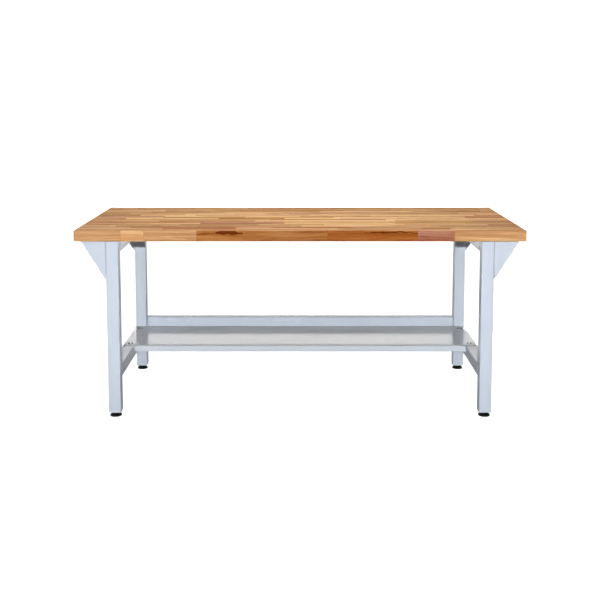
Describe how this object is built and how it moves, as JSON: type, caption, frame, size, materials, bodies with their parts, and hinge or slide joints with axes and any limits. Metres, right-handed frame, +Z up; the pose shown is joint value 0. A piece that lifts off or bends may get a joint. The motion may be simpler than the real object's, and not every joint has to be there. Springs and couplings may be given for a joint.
{
  "type": "butcher block workbench",
  "caption": "Workbench with a glued hardwood block top on a powder-coated square-tube frame, with a half-depth steel shelf, a rear stringer and levelling feet.",
  "frame": {"origin": "on the floor under the middle of the bench", "axes": "+X along the length, +Y from the front to the back, +Z up"},
  "size_m": [1.8288, 0.762, 0.7811],
  "materials": {
    "butcher_block": "satin clear lacquer over edge-glued hardwood staves",
    "leg_powder_coat": "semi-gloss light blue-grey powder coat",
    "gusset_powder_coat": "semi-gloss light blue-grey powder coat",
    "upper_rail_powder_coat": "semi-gloss light blue-grey powder coat",
    "lower_rail_powder_coat": "semi-gloss light blue-grey powder coat",
    "shelf_powder_coat": "gloss light grey powder coat",
    "stringer_powder_coat": "semi-gloss light blue-grey powder coat",
    "insert_nylon": "matte black moulded nylon",
    "stud_zinc": "bright zinc plate",
    "pad_nylon": "satin black moulded nylon",
    "shelf_screw_black_oxide": "black oxide",
    "lag_screw_zinc": "bright zinc plate",
    "bolt_zinc": "bright zinc plate",
    "rivet_nut_zinc": "bright zinc plate"
  },
  "bodies": {
    "table": {"butcher_block_top": "butcher_block", "gusset_front_left": "gusset_powder_coat", "gusset_front_right": "gusset_powder_coat", "gusset_rear_left": "gusset_powder_coat", "gusset_rear_right": "gusset_powder_coat", "gusset_screw_front_left": "lag_screw_zinc", "gusset_screw_front_right": "lag_screw_zinc", "gusset_screw_rear_left": "lag_screw_zinc", "gusset_screw_rear_right": "lag_screw_zinc", "leg_front_left": "leg_powder_coat", "leg_front_right": "leg_powder_coat", "leg_insert_front_left": "insert_nylon", "leg_insert_front_right": "insert_nylon", "leg_insert_rear_left": "insert_nylon", "leg_insert_rear_right": "insert_nylon", "leg_rear_left": "leg_powder_coat", "leg_rear_right": "leg_powder_coat", "lower_end_rail_left": "lower_rail_powder_coat", "lower_end_rail_right": "lower_rail_powder_coat", "lower_shelf": "shelf_powder_coat", "rail_screw_front_left": "lag_screw_zinc", "rail_screw_front_right": "lag_screw_zinc", "rail_screw_rear_left": "lag_screw_zinc", "rail_screw_rear_right": "lag_screw_zinc", "rear_stringer": "stringer_powder_coat", "rivet_nut_left_lower": "rivet_nut_zinc", "rivet_nut_left_upper": "rivet_nut_zinc", "rivet_nut_right_lower": "rivet_nut_zinc", "rivet_nut_right_upper": "rivet_nut_zinc", "shelf_screw_front_left_inner": "shelf_screw_black_oxide", "shelf_screw_front_left_outer": "shelf_screw_black_oxide", "shelf_screw_front_right_inner": "shelf_screw_black_oxide", "shelf_screw_front_right_outer": "shelf_screw_black_oxide", "shelf_screw_rear_left_inner": "shelf_screw_black_oxide", "shelf_screw_rear_left_outer": "shelf_screw_black_oxide", "shelf_screw_rear_right_inner": "shelf_screw_black_oxide", "shelf_screw_rear_right_outer": "shelf_screw_black_oxide", "stringer_bolt_left_lower": "bolt_zinc", "stringer_bolt_left_upper": "bolt_zinc", "stringer_bolt_right_lower": "bolt_zinc", "stringer_bolt_right_upper": "bolt_zinc", "upper_end_rail_left": "upper_rail_powder_coat", "upper_end_rail_right": "upper_rail_powder_coat"},
    "pad_front_left": {"foot_pad_front_left": "pad_nylon"},
    "stud_front_left": {"foot_stud_front_left": "stud_zinc"},
    "pad_front_right": {"foot_pad_front_right": "pad_nylon"},
    "stud_front_right": {"foot_stud_front_right": "stud_zinc"},
    "pad_rear_left": {"foot_pad_rear_left": "pad_nylon"},
    "stud_rear_left": {"foot_stud_rear_left": "stud_zinc"},
    "pad_rear_right": {"foot_pad_rear_right": "pad_nylon"},
    "stud_rear_right": {"foot_stud_rear_right": "stud_zinc"}
  },
  "joints": [
    {"name": "foot_front_left_height", "type": "slide", "parent": "table", "child": "pad_front_left", "axis": [0, 0, -1], "range_m": [0, 0.02]},
    {"name": "stud_front_left_turn", "type": "hinge", "parent": "pad_front_left", "child": "stud_front_left", "pos_m": [-0.7646, -0.3366, 0], "axis": [0, 0, -1], "continuous": true},
    {"name": "foot_front_right_height", "type": "slide", "parent": "table", "child": "pad_front_right", "axis": [0, 0, -1], "range_m": [0, 0.02]},
    {"name": "stud_front_right_turn", "type": "hinge", "parent": "pad_front_right", "child": "stud_front_right", "pos_m": [0.7646, -0.3366, 0], "axis": [0, 0, -1], "continuous": true},
    {"name": "foot_rear_left_height", "type": "slide", "parent": "table", "child": "pad_rear_left", "axis": [0, 0, -1], "range_m": [0, 0.02]},
    {"name": "stud_rear_left_turn", "type": "hinge", "parent": "pad_rear_left", "child": "stud_rear_left", "pos_m": [-0.7646, 0.3366, 0], "axis": [0, 0, -1], "continuous": true},
    {"name": "foot_rear_right_height", "type": "slide", "parent": "table", "child": "pad_rear_right", "axis": [0, 0, -1], "range_m": [0, 0.02]},
    {"name": "stud_rear_right_turn", "type": "hinge", "parent": "pad_rear_right", "child": "stud_rear_right", "pos_m": [0.7646, 0.3366, 0], "axis": [0, 0, -1], "continuous": true}
  ],
  "couplings": [
    {"joint": "stud_front_left_turn", "follows": "foot_front_left_height", "rad_per_m": 4188.8},
    {"joint": "stud_front_right_turn", "follows": "foot_front_right_height", "rad_per_m": 4188.8},
    {"joint": "stud_rear_left_turn", "follows": "foot_rear_left_height", "rad_per_m": 4188.8},
    {"joint": "stud_rear_right_turn", "follows": "foot_rear_right_height", "rad_per_m": 4188.8}
  ]
}
